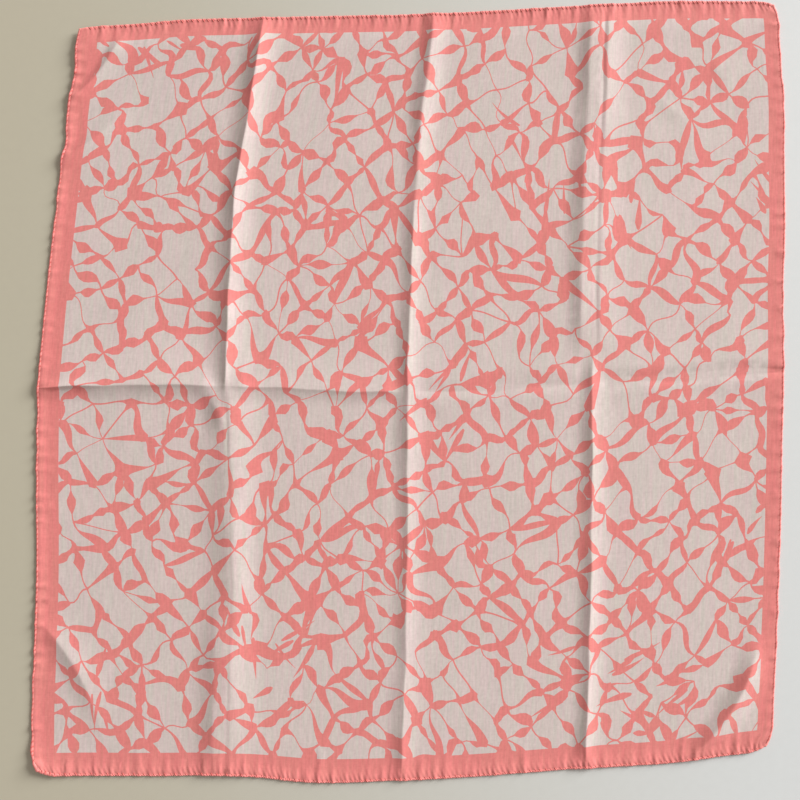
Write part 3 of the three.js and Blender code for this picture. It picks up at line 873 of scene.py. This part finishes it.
def roll_sway(edge, along):
    """How far the roll strays outwards: small kinks along the side hems."""
    if edge in ("bottom", "top"):
        return 0.08 * np.sin(along / 7.7)
    kinked = ease(np.sin(along / 31 + 0.6) * 1.6)
    return 0.30 * kinked * np.sin(along / 4.1) + 0.12 * np.sin(along / 15 + 2.0)


def on_roll(edge, radius, along, angle, pull):
    """Points on the roll, mm: angle 0 is outwards and a quarter turn is upwards; pull is its pinch there."""
    x, y, ox, oy, foot = hem_line(edge, along)
    r = roll_radius(edge, radius, along) * (1 - pull)
    out = ROLL_OUT + roll_sway(edge, along) + r * np.cos(angle)
    up = ROLL_HEIGHT / 2 * np.maximum(1 + np.sin(angle) * r / radius, 0.0)
    return np.stack([x + ox * out, y + oy * out, foot + REST + up], axis=-1)


def make_tubes(name, points, clockwise, place_of, end_places, pull):
    """Closed tubes in one mesh, from points by tube, ring and place in the ring. clockwise is the way the
    rings turn, seen from a tube's end; place_of lays the walls out flat; pull is how much painted shade a
    point gets, where a stitch pulls the roll in or its thread goes into the cloth."""
    count, rings, sides = points.shape[:3]
    steps = np.meshgrid(np.arange(count), np.arange(rings - 1), np.arange(sides), indexing="ij")
    n, k, i = (step.ravel() for step in steps)
    corners = [(k, i), (k + 1, i), (k + 1, i + 1), (k, i + 1)]
    numbers = np.arange(count * rings * sides).reshape(count, rings, sides)
    first, last = numbers[:, 0], numbers[:, -1]
    if clockwise:
        last = last[:, ::-1]
    else:
        corners, first = corners[::-1], first[:, ::-1]
    walls = np.stack([numbers[n, ring, turn % sides] for ring, turn in corners], axis=1)
    faces = walls.tolist() + first.tolist() + last.tolist()
    piece = new_mesh(name, points.reshape(-1, 3) * MM, faces)
    places = np.stack([place_of(n, ring, turn) for ring, turn in corners], axis=1).reshape(-1, 2)
    lay_out(piece.data, "threads", np.concatenate([places, end_places]) * MM)
    # Painted shade: how dark each point is painted beside the stitches
    values_on(piece.data, "POINT", "painted_stitch_shade", pull.ravel())
    return piece


def make_roll(edge, radius, pinch):
    """One hem: a roll of cloth, pulled in by every whip stitch."""
    along = np.linspace(-EDGE - ROLL_END, EDGE + ROLL_END, int(2 * EDGE / ROLL_STEP) + 1)
    marks = stitch_places(edge)
    angle = np.arange(AROUND) * 2 * np.pi / AROUND
    s, a = np.meshgrid(along, angle, indexing="ij")
    slanted = s - STITCH_SLANT * 2 * radius * np.cos(a)
    right = np.clip(np.searchsorted(marks, slanted), 1, len(marks) - 1)
    near = np.minimum(np.abs(slanted - marks[right - 1]), np.abs(slanted - marks[right]))
    pull = np.exp(-((near / PINCH) ** 2))
    points = [on_roll(edge, radius, along, a[:, i], pinch * pull[:, i]) for i in range(AROUND)]
    arc = 2 * np.pi * radius / AROUND
    order = -1 if edge in ("left", "right") else 1
    place_of = lambda n, ring, turn: np.stack((along[ring], turn * arc)[::order], axis=-1)
    ends = np.stack([np.cos(angle), np.sin(angle)], axis=1) * radius
    ends = np.concatenate([ends, ends])
    # pull also gives the roll painted shade in each stitch's notch
    return make_tubes("rolled_hem_" + edge, np.stack(points, axis=1)[None], True, place_of, ends, pull)


def foot_of_thread(edge, marks, share):
    """The least height of a thread: just over the sheet on its inner part, and nothing further out."""
    over = hem_line(edge, marks)[4] + REST + ROLLED + CLOTH + OVER_SHEET
    return np.where(share[None, :] < INNER_PART, over[:, None], 0.0)


def thread_lines(edge, radius, pinch, thread, marks, share):
    """The middle of every whip stitch, from the sheet over the roll to its far foot."""
    count = len(marks)
    spread = 0.9 + 0.2 * uneven(np.arange(count), 31)
    points = []
    for angle in np.pi * (1.05 - 1.2 * share):
        along = marks + STITCH_SLANT * 2 * radius * np.cos(angle) * spread
        pull = np.full(count, pinch - 0.35 * thread - 0.6 * max(-math.cos(angle), 0) ** 3)
        points.append(on_roll(edge, radius, along, np.full(count, angle), pull))
    line = np.stack(points, axis=1)
    line[:, :, 2] = np.maximum(line[:, :, 2], foot_of_thread(edge, marks, share))
    return line


def make_stitches(edge, radius, pinch, thread):
    """Every whip stitch of one hem in one mesh."""
    marks = stitch_places(edge)
    share = np.linspace(0, 1, THREAD_STEPS)
    line = thread_lines(edge, radius, pinch, thread, marks, share)
    ahead = np.gradient(line, axis=1)
    ahead /= np.linalg.norm(ahead, axis=2, keepdims=True)
    side = np.cross(ahead, np.cross(ahead, np.roll(ahead, 1, axis=2)))
    side /= np.linalg.norm(side, axis=2, keepdims=True)
    lift = np.cross(ahead, side)
    ring = np.arange(THREAD_SIDES) * 2 * np.pi / THREAD_SIDES
    thick = thread * (1 - 0.5 * np.abs(2 * share - 1) ** 4)[None, :, None, None]
    around = np.cos(ring)[:, None] * side[:, :, None] + np.sin(ring)[:, None] * lift[:, :, None]
    tubes = line[:, :, None] + thick * around
    place_of = lambda n, step, turn: np.stack([turn * 0.3 + n * 1.7, step * 0.5], axis=-1)
    ends = np.zeros((2 * len(marks) * THREAD_SIDES, 2))
    # Painted shade on the thread's inner foot, where it goes into the cloth
    foot_shade = np.repeat(np.tile(ease((0.5 - share) / 0.3), len(marks)), THREAD_SIDES)
    return make_tubes("whip_stitches_" + edge, tubes, False, place_of, ends, foot_shade)


# ---- Finishes ----
def linear(red, green, blue):
    """A colour from 0 to 255 as the shader takes it."""
    part = lambda c: c / 12.92 if c <= 0.04045 else ((c + 0.055) / 1.055) ** 2.4
    return (*(part(c / 255) for c in (red, green, blue)), 1.0)


CREAM_COOL, CREAM_WARM = linear(201, 190, 189), linear(208, 195, 193)
CORAL_DEEP, CORAL_LIGHT, INK_THIN = linear(219, 131, 129), linear(226, 138, 136), linear(206, 110, 106)
# The last of these is painted shade, darker and redder, for the notches where a whip stitch pulls the roll in
# and for the thread's foot
HEM_DEEP, HEM_LIGHT, HEM_STITCH_SHADE = linear(228, 132, 129), linear(240, 150, 147), linear(210, 88, 84)
THREAD_DEEP, THREAD_LIGHT = linear(222, 124, 121), linear(243, 162, 158)
FLOOR_SHADED, FLOOR_LIT, FLOOR_SPECK = linear(186, 182, 164), linear(213, 219, 222), linear(120, 116, 108)
TINTS = [(0.32, (0.955, 1.02, 0.965, 1)), (0.68, (1.045, 0.98, 1.0, 1))]  # of the upright threads
THIN_INK_SHARE = 0.36  # how much deeper the thin places of the print are
SHOWN_THROUGH = 0.34  # how much paler the print is on the underside
SPECK_SHARE = 0.06
THREAD_INPUTS = ("Slubs", "Knots", "Fine threads", "Tint")
CLOTH_THREADS = (0.24, 0.22, 0.14, 0.8)
HEM_THREADS = (0.3, 0.2, 0.4, 0.6)
STITCH_THREADS = (0.3, 0.1, 0.4, 0.3)
# Each grain: mm across and along the threads, detail, shift
GRAINS = {
    "slubs": (1.7, 16, 1.5, 0.0),
    "knots": (2.0, 2.6, 1.5, 21.0),
    "warp": (0.42, 9, 1.0, 7.3),
    "weft": (8, 0.46, 1.0, 3.9),
    "tint": (1.9, 34, 1.0, 11.7),
    "clouds": (26, 38, 2.0, 5.0),
    "ink": (2.4, 4.0, 2.0, 8.0),
    "wear": (3.0, 3.0, 2.0, 2.0),
    "twist": (0.5, 0.35, 1.0, 4.0),
    "speckle": (6.0, 6.0, 3.0, 1.0),
}


def new_material(name, values):
    """A material, its nodes, and its shader with the values that are the same all over."""
    material = bpy.data.materials.new(name)
    material.use_nodes = True
    shader = material.node_tree.nodes["Principled BSDF"]
    for socket, value in values.items():
        shader.inputs[socket].default_value = value
    return material, material.node_tree, shader


def put(tree, value, socket):
    """Sets a socket to a number or a colour, or links another socket to it."""
    if isinstance(value, (float, tuple)):
        socket.default_value = value
    else:
        tree.links.new(value, socket)


def noise_of(tree, place, grain):
    """Smooth noise, stretched to one of the grains."""
    across, along, detail, shift = GRAINS[grain]
    stretch = tree.nodes.new("ShaderNodeMapping")
    stretch.inputs["Location"].default_value = (shift, shift, shift)
    stretch.inputs["Scale"].default_value = (1 / (across * MM), 1 / (along * MM), 1)
    put(tree, place, stretch.inputs["Vector"])
    noise = tree.nodes.new("ShaderNodeTexNoise")
    noise.inputs["Scale"].default_value = 1
    noise.inputs["Detail"].default_value = detail
    put(tree, stretch.outputs["Vector"], noise.inputs["Vector"])
    return noise.outputs["Fac"]


def reckoned(tree, operation, *values):
    """One step of arithmetic on numbers or sockets."""
    step = tree.nodes.new("ShaderNodeMath")
    step.operation = operation
    for value, socket in zip(values, step.inputs):
        put(tree, value, socket)
    return step.outputs[0]


def swing(tree, value, size, around):
    """Carries a value from 0 to 1 over to around - size/2 to around + size/2."""
    return reckoned(tree, "MULTIPLY_ADD", reckoned(tree, "SUBTRACT", value, 0.5), size, around)


def mixed(tree, factor, a, b, blend="MIX", clamped=False):
    """Two colours mixed; each may be a colour or a socket."""
    mix = tree.nodes.new("ShaderNodeMix")
    mix.data_type = "RGBA"
    mix.blend_type = blend
    mix.clamp_result = clamped
    for name, value in (("Factor", factor), ("A", a), ("B", b)):
        put(tree, value, mix.inputs[name])
    return mix.outputs["Result"]


def ranged(tree, value, limits, kind="LINEAR"):
    """Carries a value from one range over to another: the first two limits to the last two."""
    step = tree.nodes.new("ShaderNodeMapRange")
    step.interpolation_type = kind
    for name, limit in zip(("From Min", "From Max", "To Min", "To Max"), limits):
        step.inputs[name].default_value = limit
    put(tree, value, step.inputs["Value"])
    return step.outputs["Result"]


def attribute(tree, name):
    found = tree.nodes.new("ShaderNodeAttribute")
    found.attribute_name = name
    return found.outputs["Fac"]


def make_threads_group():
    """Woven threads: uneven upright slubs with faint tints, and fine threads both ways."""
    tree = bpy.data.node_groups.new("woven_threads", "ShaderNodeTree")
    socket = tree.interface.new_socket
    socket("Place", in_out="INPUT", socket_type="NodeSocketVector")
    for name in THREAD_INPUTS:
        socket(name, in_out="INPUT", socket_type="NodeSocketFloat")
    socket("Shade", in_out="OUTPUT", socket_type="NodeSocketColor")
    socket("Height", in_out="OUTPUT", socket_type="NodeSocketFloat")
    given = tree.nodes.new("NodeGroupInput").outputs
    made = tree.nodes.new("NodeGroupOutput").inputs
    place = given["Place"]
    warp, weft = noise_of(tree, place, "warp"), noise_of(tree, place, "weft")
    shade = swing(tree, noise_of(tree, place, "slubs"), given["Slubs"], 1.0)
    shade = swing(tree, noise_of(tree, place, "knots"), given["Knots"], shade)
    shade = swing(tree, warp, given["Fine threads"], shade)
    shade = swing(tree, weft, given["Fine threads"], shade)
    tints = tree.nodes.new("ShaderNodeValToRGB")
    for element, (position, colour) in zip(tints.color_ramp.elements, TINTS):
        element.position = position
        element.color = colour
    put(tree, noise_of(tree, place, "tint"), tints.inputs["Fac"])
    put(tree, mixed(tree, given["Tint"], shade, tints.outputs["Color"], "MULTIPLY"), made["Shade"])
    put(tree, reckoned(tree, "ADD", warp, weft), made["Height"])
    return tree


WOVEN_THREADS = make_threads_group()


def threads_in(tree, strengths):
    """The woven threads laid along a piece's own layout, with its own strengths."""
    laid = tree.nodes.new("ShaderNodeUVMap")
    laid.uv_map = "threads"
    threads = tree.nodes.new("ShaderNodeGroup")
    threads.node_tree = WOVEN_THREADS
    put(tree, laid.outputs["UV"], threads.inputs["Place"])
    for name, strength in zip(THREAD_INPUTS, strengths):
        threads.inputs[name].default_value = strength
    return threads.outputs, laid.outputs["UV"]


def woven(tree, shader, colour, threads, smoothest, roughest, relief, depth):
    """Gives a shader its colour under the threads' shade, its roughness, and a relief of some mm."""
    dyed = mixed(tree, 1.0, colour, threads["Shade"], "MULTIPLY", clamped=True)
    put(tree, dyed, shader.inputs["Base Color"])
    matt = ranged(tree, threads["Height"], (0.6, 1.4, smoothest, roughest))
    put(tree, matt, shader.inputs["Roughness"])
    bump = tree.nodes.new("ShaderNodeBump")
    bump.inputs["Strength"].default_value = 0.5
    bump.inputs["Distance"].default_value = depth * MM
    put(tree, relief, bump.inputs["Height"])
    put(tree, bump.outputs["Normal"], shader.inputs["Normal"])


def make_cloth_finish():
    """Cream voile with a coral print that shows through, paler, on its underside."""
    values = {"Sheen Weight": 0.12, "Sheen Roughness": 0.5, "Specular IOR Level": 0.25}
    material, tree, shader = new_material("printed_cloth", values)
    threads, place = threads_in(tree, CLOTH_THREADS)
    cloudy = noise_of(tree, place, "clouds")
    cream = mixed(tree, cloudy, CREAM_COOL, CREAM_WARM)
    coral = mixed(tree, cloudy, CORAL_DEEP, CORAL_LIGHT)
    thin = mixed(tree, THIN_INK_SHARE, coral, INK_THIN)
    coral = mixed(tree, noise_of(tree, place, "ink"), thin, coral)
    shown_through = mixed(tree, SHOWN_THROUGH, coral, cream)
    dye = mixed(tree, attribute(tree, "underside"), coral, shown_through)
    colour = mixed(tree, attribute(tree, "print"), cream, dye)
    woven(tree, shader, colour, threads, 0.78, 0.92, threads["Height"], 0.05)
    return material


def make_hem_finish():
    """The rolled edge: the same printed cloth, worn paler in places, with painted shade where a stitch pulls
    it in.
    """
    material, tree, shader = new_material("hem_cloth", {"Sheen Weight": 0.12, "Specular IOR Level": 0.25})
    threads, place = threads_in(tree, HEM_THREADS)
    roll = mixed(tree, noise_of(tree, place, "wear"), HEM_DEEP, HEM_LIGHT)
    # Painted shade in the notches where each stitch pulls the roll in
    colour = mixed(tree, attribute(tree, "painted_stitch_shade"), roll, HEM_STITCH_SHADE)
    woven(tree, shader, colour, threads, 0.72, 0.88, threads["Height"], 0.08)
    return material


def make_stitch_finish():
    """Coral sewing thread with the bands of its twist, and painted shade where it goes into the cloth."""
    material, tree, shader = new_material("sewing_thread", {"Sheen Weight": 0.2})
    threads, place = threads_in(tree, STITCH_THREADS)
    twist = noise_of(tree, place, "twist")
    colour = mixed(tree, twist, THREAD_DEEP, THREAD_LIGHT)
    # Painted shade on the thread where it goes into the cloth
    colour = mixed(tree, attribute(tree, "painted_stitch_shade"), colour, HEM_STITCH_SHADE)
    woven(tree, shader, colour, threads, 0.5, 0.65, twist, 0.1)
    return material


# ---- The scarf's pieces ----
cloth_finish = make_cloth_finish()
hem_finish = make_hem_finish()
stitch_finish = make_stitch_finish()

sheet = make_sheet()
sheet.data.materials.append(cloth_finish)
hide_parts("panel")
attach(sheet, "root")

for edge, radius, pinch, thread in ROLLS:
    hem = make_roll(edge, radius, pinch)
    hem.data.materials.append(hem_finish)
    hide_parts("hem_" + edge)
    stitches = make_stitches(edge, radius, pinch, thread)
    stitches.data.materials.append(stitch_finish)
    for piece in (hem, stitches):
        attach(piece, "root")


# ---- Floor, light and camera: sizes in m ----
FLOOR_SIDE = 6
SHADED_END, LIT_END = -0.32, 0.36  # between these the floor changes from shaded to lit
WINDOW_PLACE = (8.57, 4.95, 3.22)
WINDOW_SIZE = (5.0, 4.0)
WINDOW_POWER = 2240
WINDOW_COLOUR = (1.0, 0.98, 0.95)
ROOM_COLOUR, ROOM_STRENGTH = (1.0, 0.90, 0.83, 1), 0.43
CAMERA_PLACE = (-0.00606, -0.00587, 0.59)
VIEW_WIDTH = 0.588  # of the floor


def make_floor():
    """A plain pale floor, a little lighter and cooler towards the window."""
    bpy.ops.mesh.primitive_plane_add(size=FLOOR_SIDE, location=(0, 0, 0))
    floor = bpy.context.object
    floor.name = "floor"
    material, tree, shader = new_material("pale_floor", {"Roughness": 0.7})
    place = tree.nodes.new("ShaderNodeTexCoord").outputs["Object"]
    apart = tree.nodes.new("ShaderNodeSeparateXYZ")
    put(tree, place, apart.inputs["Vector"])
    lit = ranged(tree, apart.outputs["X"], (SHADED_END, LIT_END, 0.0, 1.0), "SMOOTHSTEP")
    colour = mixed(tree, lit, FLOOR_SHADED, FLOOR_LIT)
    speck = mixed(tree, SPECK_SHARE, colour, FLOOR_SPECK)
    colour = mixed(tree, noise_of(tree, place, "speckle"), colour, speck)
    put(tree, colour, shader.inputs["Base Color"])
    floor.data.materials.append(material)


def make_light():
    """A large, soft, low window on the right, and a dim warm room around."""
    data = bpy.data.lights.new("window", "AREA")
    data.shape = "RECTANGLE"
    data.size, data.size_y = WINDOW_SIZE
    data.energy = WINDOW_POWER
    data.color = WINDOW_COLOUR
    lamp = placed("window", data, WINDOW_PLACE)
    lamp.rotation_euler = (Vector((0, 0, 0)) - lamp.location).to_track_quat("-Z", "Y").to_euler()
    world = bpy.data.worlds.new("room")
    world.use_nodes = True
    room = world.node_tree.nodes["Background"]
    room.inputs["Color"].default_value = ROOM_COLOUR
    room.inputs["Strength"].default_value = ROOM_STRENGTH
    bpy.context.scene.world = world


def make_camera():
    """Straight above, looking down."""
    data = bpy.data.cameras.new("overhead")
    data.sensor_fit = "HORIZONTAL"
    data.lens = data.sensor_width * CAMERA_PLACE[2] / VIEW_WIDTH
    bpy.context.scene.camera = placed("overhead", data, CAMERA_PLACE)


make_floor()
make_light()
make_camera()
bpy.context.scene.view_settings.view_transform = "Standard"
